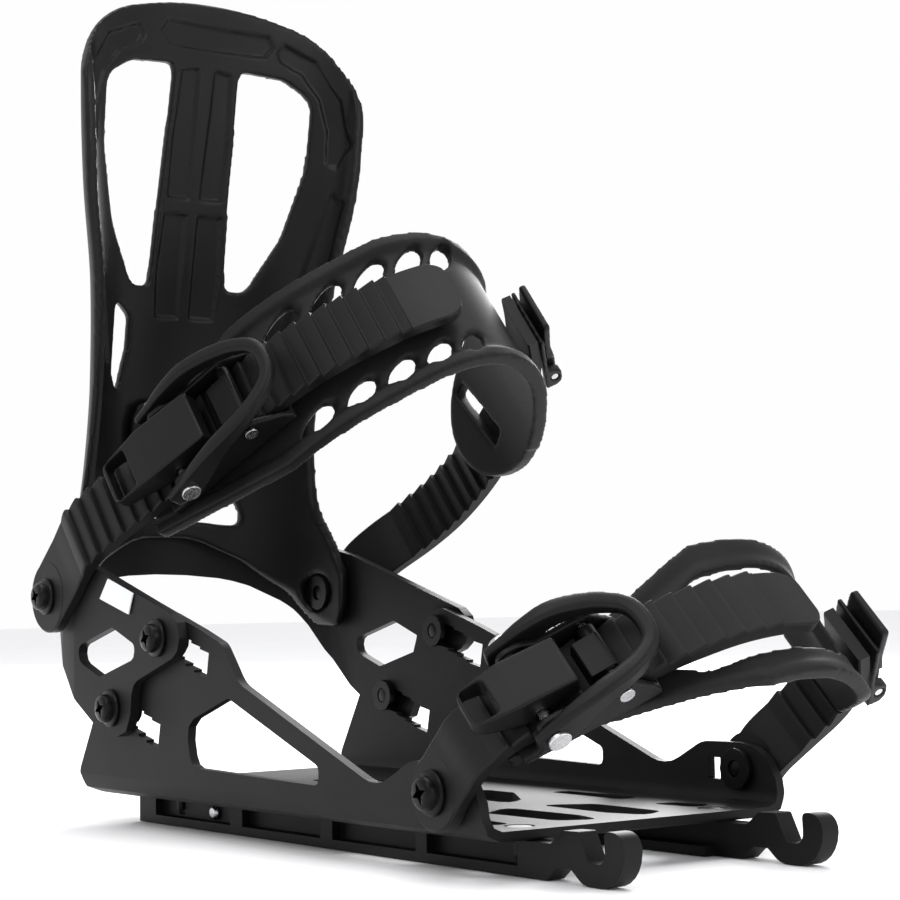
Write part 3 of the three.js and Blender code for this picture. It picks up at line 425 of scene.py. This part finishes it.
def rounded(corners, segments=8):
    """Outline points of a polygon whose corners are [u, v] or [u, v, radius]."""
    points = []
    count = len(corners)
    for i, corner in enumerate(corners):
        here = Vector(corner[:2])
        radius = corner[2] if len(corner) > 2 else 0
        if not radius:
            points.append(tuple(here))
            continue
        before = Vector(corners[i - 1][:2]) - here
        after = Vector(corners[(i + 1) % count][:2]) - here
        half = before.angle(after) / 2
        reach = min(radius / math.tan(half), before.length * 0.499, after.length * 0.499)
        start = here + before.normalized() * reach
        end = here + after.normalized() * reach
        for k in range(segments + 1):
            t = k / segments
            points.append(tuple(start * (1 - t) ** 2 + here * 2 * t * (1 - t) + end * t * t))
    return points


# ------------------------------------------------------------------ highback
def mirrored(corners):
    return [(-y, z) for y, z in corners]


# recessed panels of the front face, as [y, z] corners in mm
TOP_PANEL = [(-19, 282), (25, 281), (28, 277), (24, 272), (-17, 272), (-22, 277)]
SIDE_PANEL = [
    (31, 279), (45, 273), (54, 258), (56, 240), (53, 231), (49, 233), (49, 246), (46, 258),
    (39, 267), (30, 271), (28, 275),
]
LOW_PANEL = [(51, 223), (54, 218), (50, 196), (42, 166), (37, 152), (35, 154), (43, 192)]
SPINE_UPPER = [(2, 217), (12, 217), (12.5, 240), (11, 265), (3, 266)]
SPINE_LOWER = [(2, 172), (13, 172), (14, 190), (12.5, 212), (2, 212)]
PANELS = [
    TOP_PANEL, SIDE_PANEL, mirrored(SIDE_PANEL), LOW_PANEL, mirrored(LOW_PANEL),
    SPINE_UPPER, mirrored(SPINE_UPPER), SPINE_LOWER, mirrored(SPINE_LOWER),
]
PANEL_DEPTH = 1.4
PANEL_EDGE = 1.1


def depth_inside(corners, y, z):
    """Distance in mm from the nearest edge when [y, z] is inside the outline, else 0."""
    inside = False
    nearest = 1e9
    for (y0, z0), (y1, z1) in zip(corners, corners[1:] + corners[:1]):
        if (z0 > z) != (z1 > z) and y < (y1 - y0) * (z - z0) / (z1 - z0) + y0:
            inside = not inside
        along = ((y - y0) * (y1 - y0) + (z - z0) * (z1 - z0)) / ((y1 - y0) ** 2 + (z1 - z0) ** 2)
        along = min(max(along, 0), 1)
        nearest = min(nearest, math.hypot(y - y0 - along * (y1 - y0), z - z0 - along * (z1 - z0)))
    return nearest if inside else 0


# plan section of the shell at a height in mm: rear x, x of the widest point, half width
SHELL_STATIONS = [
    (44, -165.0, -117, 55.5), (86, -164.6, -117, 55.5), (116, -160.0, -124, 49.8),
    (142, -154.5, -123, 48.6), (182, -147.0, -117, 51.5), (216, -139.8, -111, 57.5),
    (249, -131.6, -109, 60.0), (296, -122.6, -107, 60.6),
]
SHELL = 4.0


def shell_section(z):
    """Rear, centre and half width at a height, on a smooth curve through the stations."""
    knots = SHELL_STATIONS
    i = 0
    while i < len(knots) - 2 and knots[i + 1][0] < z:
        i += 1
    before, a = knots[max(i - 1, 0)], knots[i]
    b, after = knots[i + 1], knots[min(i + 2, len(knots) - 1)]
    t = (z - a[0]) / (b[0] - a[0])
    values = []
    for k in (1, 2, 3):
        values.append(0.5 * (
            2 * a[k] + (b[k] - before[k]) * t
            + (2 * before[k] - 5 * a[k] + 4 * b[k] - after[k]) * t * t
            + (3 * a[k] - before[k] - 3 * b[k] + after[k]) * t ** 3
        ))
    return values


def shell_inset(x, y, z):
    """Depth in mm under the shell's outer face, and the outward direction there."""
    rear, centre, half = shell_section(z)
    if x > centre:
        return half - abs(y), Vector((0, math.copysign(1, y), 0))
    depth = centre - rear
    reach = math.hypot((x - centre) / depth, y / half)
    out = Vector(((x - centre) / depth ** 2, y / half ** 2, 0))
    return (1 - reach) * reach / out.length, out.normalized()


def shell_blank(low=52, high=295, front=-98, around=72):
    """The U-shaped shell before its outline is trimmed."""
    shape = bmesh.new()
    rings = []
    z = low
    while z <= high:
        rear, centre, half = shell_section(z)
        ring = []
        for inset in (0, SHELL):
            side = [(front, inset - half)]
            for i in range(around + 1):
                angle = math.pi * i / around
                side.append((
                    centre - (centre - rear - inset) * math.sin(angle),
                    (inset - half) * math.cos(angle),
                ))
            side.append((front, half - inset))
            ring.extend(side if inset == 0 else reversed(side))
        rings.append([shape.verts.new((x * MM, y * MM, z * MM)) for x, y in ring])
        z += 3
    return skinned("highback_shell", shape, rings)


def press_panels(obj):
    for vertex in obj.data.vertices:
        x, y, z = vertex.co / MM
        inset, outward = shell_inset(x, y, z)
        if inset < SHELL * 0.6:
            continue
        depth = max(depth_inside(corners, y, z) for corners in PANELS)
        if depth > 0:
            t = min(depth / PANEL_EDGE, 1)
            vertex.co += outward * PANEL_DEPTH * t * t * (3 - 2 * t) * MM


SIDE_TRIM = [
    (-180, 52.8), (-137.8, 52.8), (-116.5, 52.6, 13), (-116.5, 74, 10), (-130, 100, 20),
    (-127.5, 125, 30), (-117, 180, 40), (-108.2, 226, 40), (-106.5, 252, 40), (-113, 279, 30),
    (-128, 300), (-180, 300),
]
FRONT_TRIM = [
    (-66, 52.5), (-52, 53.5, 3), (-45, 67, 12), (-30, 80, 20), (-12, 88.8, 30), (12, 88.8, 30),
    (30, 80, 20), (45, 67, 12), (52, 53.5, 3), (66, 52.5), (64, 244, 60), (51, 281, 42),
    (0, 292.5, 150), (-51, 281, 42), (-64, 244, 60),
]
WINDOW = [
    (14, 262, 3), (15, 266.5, 4), (33, 265, 12), (44.5, 258, 9), (44, 232, 16), (37, 205, 30),
    (25, 183.5, 6), (16.5, 184, 4), (15, 220, 10),
]
SLOT = [(-31, 93, 4), (-27, 104, 4), (27, 104, 4), (31, 93, 4), (0, 97, 40)]
NOTCH = [(25, 172, 3), (33, 178, 3), (33, 150, 3), (29, 142, 1.5), (25, 160, 3)]


def mirror_rounded(corners):
    return [(-y, z, radius) for y, z, radius in corners]


def highback_shell():
    shell = shell_blank()
    boolean(shell, prism_between("side", [
        [(x * MM, y * MM, z * MM) for x, z in rounded(SIDE_TRIM)] for y in (-80, 80)
    ]), "INTERSECT")
    boolean(shell, prism_between("front", [
        [(x * MM, y * MM, z * MM) for y, z in rounded(FRONT_TRIM)] for x in (-190, -80)
    ]), "INTERSECT")
    for corners in (WINDOW, mirror_rounded(WINDOW), SLOT, NOTCH, mirror_rounded(NOTCH)):
        boolean(shell, prism_between("window", [
            [(x * MM, y * MM, z * MM) for y, z in rounded(corners)] for x in (-190, -80)
        ]), "DIFFERENCE")
    hinge = turned("hinge", [
        (0, -0.08), (HINGE_BORE * MM, -0.08), (HINGE_BORE * MM, 0.08), (0, 0.08),
    ], 32)
    hinge.data.transform(Matrix.Translation(HINGE))
    boolean(shell, hinge, "DIFFERENCE")
    for sign in (-1, 1):
        inner, outer = sorted((sign * 30 * MM, sign * (HINGE_FACE + CLEARANCE) * MM))
        seat = turned("seat", [
            (0, inner), (HINGE_SEAT * MM, inner), (HINGE_SEAT * MM, outer), (0, outer),
        ], 32)
        seat.data.transform(Matrix.Translation(HINGE))
        boolean(shell, seat, "DIFFERENCE")
    for z in LEAN_SCREWS:
        radius = LEAN_SCREW_BORE * MM
        bore = turned("bore", [
            (0, -175 * MM), (radius, -175 * MM), (radius, -150 * MM), (0, -150 * MM),
        ], 20)
        turn = Matrix.Rotation(-math.pi / 2, 4, "Z")
        bore.data.transform(Matrix.Translation((0, 0, z * MM)) @ turn)
        boolean(shell, bore, "DIFFERENCE")
    return shell


highback = softened(highback_shell(), 0.9 * MM, 5)
press_panels(highback)
finish_piece(highback, MOULDED, "highback", "highback")
back_pad = softened(copy_of("highback_pad", "highback_cushion"), 0.7 * MM, 4)
finish_piece(back_pad, PAD, "highback", "highback_pad")


# ------------------------------------------------------------------ straps
class StrapPlane:
    """The plane a strap loop lies in: y is across, s is along, w is the strap's width."""

    def __init__(self, bolt_axis, tilt):
        self.origin = bolt_axis
        self.along = Vector((math.cos(tilt), 0, math.sin(tilt)))
        self.width = Vector((-math.sin(tilt), 0, math.cos(tilt)))

    def point(self, y, s, w):
        return self.origin + self.along * s + self.width * w + Vector((0, y, 0))


ANKLE = StrapPlane(HINGE, ANKLE_TILT)
TOE = StrapPlane(TOE_BOLT, TOE_TILT)


def smooth_line(points, step):
    """Points at even steps along a smooth curve through [y, s] points in mm, in metres."""
    knots = [Vector(p) * MM for p in points]
    fine = []
    for i in range(len(knots) - 1):
        before = knots[max(i - 1, 0)]
        after = knots[min(i + 2, len(knots) - 1)]
        a, b = knots[i], knots[i + 1]
        for k in range(24):
            t = k / 24
            fine.append(0.5 * (
                2 * a + (b - before) * t + (2 * before - 5 * a + 4 * b - after) * t * t
                + (3 * a - before - 3 * b + after) * t ** 3
            ))
    fine.append(knots[-1])
    length = [0.0]
    for p, q in zip(fine, fine[1:]):
        length.append(length[-1] + (q - p).length)
    count = max(round(length[-1] / step), 2)
    line = []
    j = 0
    for i in range(count + 1):
        target = length[-1] * i / count
        while j < len(length) - 2 and length[j + 1] < target:
            j += 1
        t = (target - length[j]) / (length[j + 1] - length[j])
        line.append((fine[j].lerp(fine[j + 1], t), target))
    return line, length[-1]


def swept(name, plane, points, section, step=1.0 * MM):
    """Sweeps a closed section along the line. section(spot, d, total) gives [w, n] points."""
    line, total = smooth_line(points, step)
    shape = bmesh.new()
    rings = []
    for i, (point, distance) in enumerate(line):
        ahead = line[min(i + 1, len(line) - 1)][0]
        behind = line[max(i - 1, 0)][0]
        tangent = (ahead - behind).normalized()
        normal = Vector((-tangent.y, tangent.x))
        ring = []
        for w, n in section(point / MM, distance, total):
            spot = point + normal * n
            ring.append(shape.verts.new(plane.point(spot.x, spot.y, w)))
        rings.append(ring)
    return skinned(name, shape, rings)


def tooth(distance, start, end):
    """Height of the ramped ladder teeth at a distance along the strap."""
    if not start < distance < end:
        return 0
    phase = ((distance - start) / TOOTH_PITCH) % 1
    return TOOTH_HEIGHT * min(phase / 0.8, 1) if phase < 0.92 else 0


def ladder(name, plane, points, half, teeth, outer, tip):
    """A toothed strap: outer is +1 or -1 for the side that the teeth stand on."""
    start, end = teeth

    def section(spot, distance, total):
        reach = total - distance
        width = half
        if tip and reach < half * 0.6:
            width = half * (0.55 + 0.45 * math.sqrt(max(1 - (1 - reach / (half * 0.6)) ** 2, 0)))
        thick = STRAP_THICKNESS / 2
        top = thick + tooth(distance, start, total - end) if start else thick
        return [
            (-width, -thick * outer), (-width, (top - 0.5 * MM) * outer),
            (-width + 0.6 * MM, top * outer), (width - 0.6 * MM, top * outer),
            (width, (top - 0.5 * MM) * outer), (width, -thick * outer),
        ]
    return swept(name, plane, points, section, 0.5 * MM)


def with_eye(strap, plane, side, inner, radius, bore):
    """Joins the strap to a round eye on its bolt and opens the bore."""
    thick = STRAP_THICKNESS + 0.4 * MM
    edge = 0.7 * MM
    eye = turned("eye", [
        (0, 0), (radius, 0), (radius, thick - edge), (radius - edge, thick), (0, thick),
    ], 48)
    turn = Matrix.Rotation(0 if side > 0 else math.pi, 4, "X")
    place = Matrix.Translation(plane.origin + Vector((0, side * inner, 0)))
    eye.data.transform(place @ turn)
    boolean(strap, eye, "UNION")
    hole = turned("hole", [(0, -0.02), (bore, -0.02), (bore, 0.02), (0, 0.02)], 32)
    hole.data.transform(place @ turn)
    boolean(strap, hole, "DIFFERENCE")
    smooth_by_angle(strap, 32)
    return strap


ANKLE_LADDER_LINE = [
    (-63.1, 2), (-63.1, 16), (-63.2, 31), (-57.6, 45.5), (-49.4, 60), (-42.6, 73.5), (-36, 87),
    (-29.4, 100.5), (-22.8, 114), (-12, 129), (2, 143), (15, 153.2), (28, 160),
]
ankle_ladder = ladder(
    "ankle_ladder_toothed", ANKLE, ANKLE_LADDER_LINE, 13 * MM, (24 * MM, 20 * MM), 1, True,
)
with_eye(ankle_ladder, ANKLE, -1, 61.1 * MM, 13 * MM, 4.9 * MM)
finish_piece(ankle_ladder, STRAP, "ankle_strap", "ankle_ladder")

ANKLE_CONNECTOR_LINE = [
    (63.1, 2), (63.6, 14), (68.5, 26), (77, 40), (83, 54), (86, 70), (86.4, 86), (85, 102),
    (80.8, 118.6), (73.3, 134.6), (63.8, 147.8),
]
ankle_connector = ladder(
    "ankle_connector_toothed", ANKLE, ANKLE_CONNECTOR_LINE, 12 * MM, (34 * MM, 66 * MM), 1, False,
)
with_eye(ankle_connector, ANKLE, 1, 61.1 * MM, 13 * MM, 4.9 * MM)
finish_piece(ankle_connector, STRAP, "ankle_strap", "ankle_connector")

TOE_LADDER_LINE = [
    (-59.4, 2), (-59.4, 11), (-58.8, 20), (-53.2, 29.2), (-45.4, 35.2), (-37.5, 41.4),
    (-29.6, 47.6), (-18.6, 56.2), (-8, 62.6), (5, 68.4), (19, 71.6), (33, 72.2),
]
toe_ladder = ladder(
    "toe_ladder_toothed", TOE, TOE_LADDER_LINE, 10.5 * MM, (22 * MM, 14 * MM), 1, True,
)
with_eye(toe_ladder, TOE, -1, 57.3 * MM, 11 * MM, 4.6 * MM)
finish_piece(toe_ladder, STRAP, "toe_strap", "toe_ladder")

TOE_CONNECTOR_LINE = [
    (59.4, 2), (59.6, 10), (63.6, 21), (67.4, 31), (68, 40), (65.4, 49.5), (59.5, 58),
]
toe_connector = ladder(
    "toe_connector_toothed", TOE, TOE_CONNECTOR_LINE, 10 * MM, (16 * MM, 22 * MM), 1, False,
)
with_eye(toe_connector, TOE, 1, 57.3 * MM, 11 * MM, 4.6 * MM)
finish_piece(toe_connector, STRAP, "toe_strap", "toe_connector")


# ------------------------------------------------------------------ buckle levers
# one rail from its pivot end to the nose: x, share of the arm's y, low, high, width in mm
LEVER_RAIL = [
    (-20.5, 1.0, 2.6, 8.6, 3.0), (-13, 1.0, 0.9, 10.8, 3.4), (-5, 1.0, 3.6, 13.4, 4.2),
    (6, 0.97, 8.6, 15.4, 5.2), (17, 0.86, 9.6, 14.8, 5.4), (26, 0.68, 9.4, 13.8, 5.2),
    (32.6, 0.4, 9.2, 13.0, 5.0), (34.4, 0, 9.0, 12.8, 5.0),
]


def smooth_stations(stations, each=6):
    """Stations eased along a smooth curve through all of their numbers."""
    result = []
    for i in range(len(stations) - 1):
        before = stations[max(i - 1, 0)]
        after = stations[min(i + 2, len(stations) - 1)]
        a, b = stations[i], stations[i + 1]
        for k in range(each):
            t = k / each
            result.append([
                0.5 * (2 * q + (r - p) * t + (2 * p - 5 * q + 4 * r - s) * t * t
                       + (3 * q - p - 3 * r + s) * t ** 3)
                for p, q, r, s in zip(before, a, b, after)
            ])
    return result + [list(stations[-1])]


def buckle_place(plane, at, turn):
    """The buckle's own frame: x along the strap, y across it, z out of it."""
    angle = math.radians(turn)
    along = Vector((0, math.cos(angle), 0)) + plane.along * math.sin(angle)
    normal = Vector((0, -math.sin(angle), 0)) + plane.along * math.cos(angle)
    place = Matrix((along, plane.width, normal)).transposed().to_4x4()
    place.translation = plane.point(at[0] * MM, at[1] * MM, 0)
    return place


def release_tab(node, place, half, length):
    """The tab with its tail opened into a frame that a finger can hook."""
    inner = half - 4.6
    slot = rounded([
        (-36.5 * length, -inner, 1.5), (-27 * length, -inner, 1.5), (-27 * length, inner, 1.5),
        (-36.5 * length, inner, 1.5),
    ], 4)
    cutter = prism_between("slot", [
        [place @ (Vector((x, y, z)) * MM) for x, y in slot] for z in (-5, 25)
    ])
    tab = boolean(copy_of(node, node + "_framed"), cutter, "DIFFERENCE")
    softened(tab, 0.45 * MM, 5)
    finish_piece(tab, BUCKLE, body_of(node), node)


def buckle_lever(node, place, half, length):
    """A looped lever: two arched rails that meet in a rounded nose, on a pivot."""
    reach = half + 5.1
    near = [(x * length, -share * reach, *rest) for x, share, *rest in LEVER_RAIL]
    far = [(x, -y, *rest) for x, y, *rest in reversed(near[:-1])]
    path = smooth_stations(near + far)
    shape = bmesh.new()
    rings = []
    for i, (x, y, low, high, width) in enumerate(path):
        ahead, behind = path[min(i + 1, len(path) - 1)], path[max(i - 1, 0)]
        out = Vector((behind[1] - ahead[1], ahead[0] - behind[0])).normalized() * width / 2
        corners = [
            (x - out.x, y - out.y, low), (x - out.x, y - out.y, high - 0.8),
            (x - out.x * 0.5, y - out.y * 0.5, high), (x + out.x * 0.5, y + out.y * 0.5, high),
            (x + out.x, y + out.y, high - 0.8), (x + out.x, y + out.y, low),
        ]
        rings.append([shape.verts.new(place @ (Vector(corner) * MM)) for corner in corners])
    lever = skinned(node + "_looped", shape, rings)
    softened(lever, 0.5 * MM, 6)
    finish_piece(lever, BUCKLE, body_of(node), node)


ANKLE_BUCKLE = buckle_place(ANKLE, (-36, 87), 63.9)
TOE_BUCKLE = buckle_place(TOE, (-37.5, 41.4), 38)
buckle_lever("ankle_buckle_lever", ANKLE_BUCKLE, ANKLE_HALF, ANKLE_LENGTH)
buckle_lever("toe_buckle_lever", TOE_BUCKLE, TOE_HALF, TOE_LENGTH)
release_tab("ankle_release_tab", ANKLE_BUCKLE, ANKLE_HALF, ANKLE_LENGTH)
release_tab("toe_release_tab", TOE_BUCKLE, TOE_HALF, TOE_LENGTH)


# ------------------------------------------------------------------ pads
def across(plane, corners, low, high):
    """A prism of a [y, w] outline running along s, in mm."""
    return prism_between("across", [
        [plane.point(y * MM, s * MM, w * MM) for y, w in corners] for s in (low, high)
    ])


def beside(plane, corners, low, high):
    """A prism of an [s, w] outline running along y, in mm."""
    return prism_between("beside", [
        [plane.point(y * MM, s * MM, w * MM) for s, w in corners] for y in (low, high)
    ])


def slanted_hole(y, w, half_y, half_w, lean):
    """A rounded slanted slot in [y, w]."""
    corners = []
    for i in range(12):
        angle = 2 * math.pi * i / 12
        rise = half_w * math.sin(angle)
        corners.append((y + half_y * math.cos(angle) + lean * rise, w + rise))
    return corners


def rimmed_section(low, high, thick, web, rim):
    """Across the strap: two raised rims with a thinner web between them, in mm."""
    rim = min(rim, (high - low) * 0.3)
    slope = min(2.0, (high - low) * 0.15)
    corners = [
        (low, -thick), (low, thick), (low + rim, thick), (low + rim + slope, web),
        (high - rim - slope, web), (high - rim, thick), (high, thick), (high, -thick),
    ]
    return [(w * MM, n * MM) for w, n in corners]


ANKLE_PAD_LINE = [
    (-44.5, 50), (-41.4, 56.2), (-34.8, 69.7), (-28.2, 83.2), (-21.6, 96.7), (-15, 110.2),
    (-5.5, 123.5), (6.5, 136.3), (20, 148.5), (33, 154.2), (46, 153), (58.5, 145),
    (67.5, 132.5), (74.5, 117.5), (78.6, 100), (78.6, 78),
]


def ankle_pad_edges(y, s):
    taper = min(max((y + 46) / 26, 0), 1)
    low, high = -15 - 14 * taper, 16 + 20 * taper
    if y > 18:
        high -= min((y - 18) / 38, 1) * 7
    if y > 66 and s < 112:
        drop = min((112 - s) / 34, 0.999)
        bow = math.sqrt(1 - drop * drop)
        low, high = 1 - 29 * bow, 1 + 28 * bow
    return low, high


def ankle_pad_section(spot, distance, total):
    low, high = ankle_pad_edges(spot.x, spot.y)
    web = 0.3 if spot.y > 112 or spot.x < 60 else 2.2
    return rimmed_section(low, high, 2.8, web, 4.6)


ankle_pad = swept("ankle_pad_padded", ANKLE, ANKLE_PAD_LINE, ankle_pad_section, 1.5 * MM)
for i in range(6):
    boolean(ankle_pad, across(ANKLE, slanted_hole(-23 + 12 * i, 22.5, 4.4, 6.6, 0.55), 20, 185),
            "DIFFERENCE")
for i in range(5):
    boolean(ankle_pad, across(ANKLE, slanted_hole(-12 + 10.7 * i, -20, 3.9, 5.2, 0.45), 20, 185),
            "DIFFERENCE")
boolean(ankle_pad, beside(ANKLE, [(91, 20), (97, 20), (103, -10), (96, -12)], 60, 95), "DIFFERENCE")
softened(ankle_pad, 0.9 * MM, 4)
finish_piece(ankle_pad, PAD, "ankle_strap", "ankle_pad")

TOE_CAP_LINE = [
    (-51, 21.4), (-46.5, 24.9), (-38, 31.6), (-30, 37.8), (-22, 44), (-13, 51), (-3, 57.8),
    (10, 64.2), (28, 66.6), (43, 62.2), (54.6, 52.8), (61, 40),
]


def toe_cap_section(spot, distance, total):
    spread = min(max((spot.x + 34) / 44, 0), 1)
    low, high = -10 - 13 * spread, 10 + 17 * spread
    tuck = 0
    if spot.x > 50:
        tuck = min((spot.x - 50) / 11, 1) ** 2
        low, high = low + 9 * tuck, high - 9 * tuck
    lift = 0.2 * spread * (1 - tuck)
    return [
        (w, n + lift * max(w - 12 * MM, 0)) for w, n in rimmed_section(low, high, 2.2, 1.6, 3.0)
    ]


toe_cap = swept("toe_cap_moulded", TOE, TOE_CAP_LINE, toe_cap_section, 1.5 * MM)
opening = rounded([
    (-18, 0, 8), (-4, -13, 8), (40, -14, 6), (53, -9, 6), (53, 12, 6), (42, 19, 6), (6, 17, 10),
])
boolean(toe_cap, across(TOE, opening, 5, 95), "DIFFERENCE")
softened(toe_cap, 0.8 * MM, 5)
finish_piece(toe_cap, PAD, "toe_strap", "toe_cap")


# ------------------------------------------------------------------ floor, light and camera
def floor():
    shape = bmesh.new()
    size = 6.0
    bmesh.ops.create_grid(shape, x_segments=8, y_segments=8, size=size)
    mesh = bpy.data.meshes.new("floor")
    shape.to_mesh(mesh)
    shape.free()
    plane = link("floor", mesh)
    plane.location.z = CAD_BOX[0].z - 0.0002
    material, shader = principled("floor_paper", (0.86, 0.86, 0.87), 0.75, 0.0)
    cloudy = add_noise(material, 3)
    drive_colour(
        material, cloudy, (0.86, 0.86, 0.87), (0.88, 0.88, 0.885), shader.inputs["Base Color"],
    )
    mesh.materials.append(material)


def area_light(name, place, target, size, power):
    light = bpy.data.lights.new(name, "AREA")
    light.shape = "RECTANGLE"
    light.size, light.size_y = size
    light.energy = power
    obj = bpy.data.objects.new(name, light)
    obj.location = place
    obj.rotation_mode = "QUATERNION"
    obj.rotation_quaternion = (Vector(target) - Vector(place)).to_track_quat("-Z", "Y")
    bpy.context.scene.collection.objects.link(obj)


def studio():
    world = bpy.data.worlds.new("studio")
    bpy.context.scene.world = world
    world.use_nodes = True
    back = world.node_tree.nodes["Background"]
    back.inputs["Color"].default_value = (0.99, 0.99, 1.0, 1)
    back.inputs["Strength"].default_value = 1.0
    bpy.context.scene.view_settings.view_transform = "Standard"
    middle = (0, 0, 0.12)
    area_light("key", (0.5, -1.3, 1.5), middle, (1.0, 1.0), 9)
    area_light("top", (-0.1, 0.1, 1.8), middle, (1.2, 1.2), 16)
    area_light("rim", (-1.0, 1.2, 0.9), middle, (0.8, 1.2), 28)
    area_light("toe", (1.6, 0.4, 0.7), middle, (0.7, 1.1), 8)


CAMERA_PLACE = Vector((610.343, -424.298, 64.081)) * MM
CAMERA_AZIMUTH = math.radians(53.917)
CAMERA_ELEVATION = math.radians(-3.741)
CAMERA_ROLL = math.radians(-0.95)


def camera():
    data = bpy.data.cameras.new("camera")
    data.lens = 90
    data.sensor_width = 36
    data.clip_start = 0.05
    obj = bpy.data.objects.new("camera", data)
    bpy.context.scene.collection.objects.link(obj)
    flat = math.cos(CAMERA_ELEVATION)
    back = Vector((
        math.sin(CAMERA_AZIMUTH) * flat, -math.cos(CAMERA_AZIMUTH) * flat,
        math.sin(CAMERA_ELEVATION),
    ))
    right = Vector((math.cos(CAMERA_AZIMUTH), math.sin(CAMERA_AZIMUTH), 0))
    up = back.cross(right)
    turned_right = right * math.cos(CAMERA_ROLL) + up * math.sin(CAMERA_ROLL)
    turned_up = up * math.cos(CAMERA_ROLL) - right * math.sin(CAMERA_ROLL)
    turn = Matrix((turned_right, turned_up, back)).transposed()
    obj.matrix_world = Matrix.Translation(CAMERA_PLACE) @ turn.to_4x4()
    bpy.context.scene.camera = obj


floor()
studio()
camera()
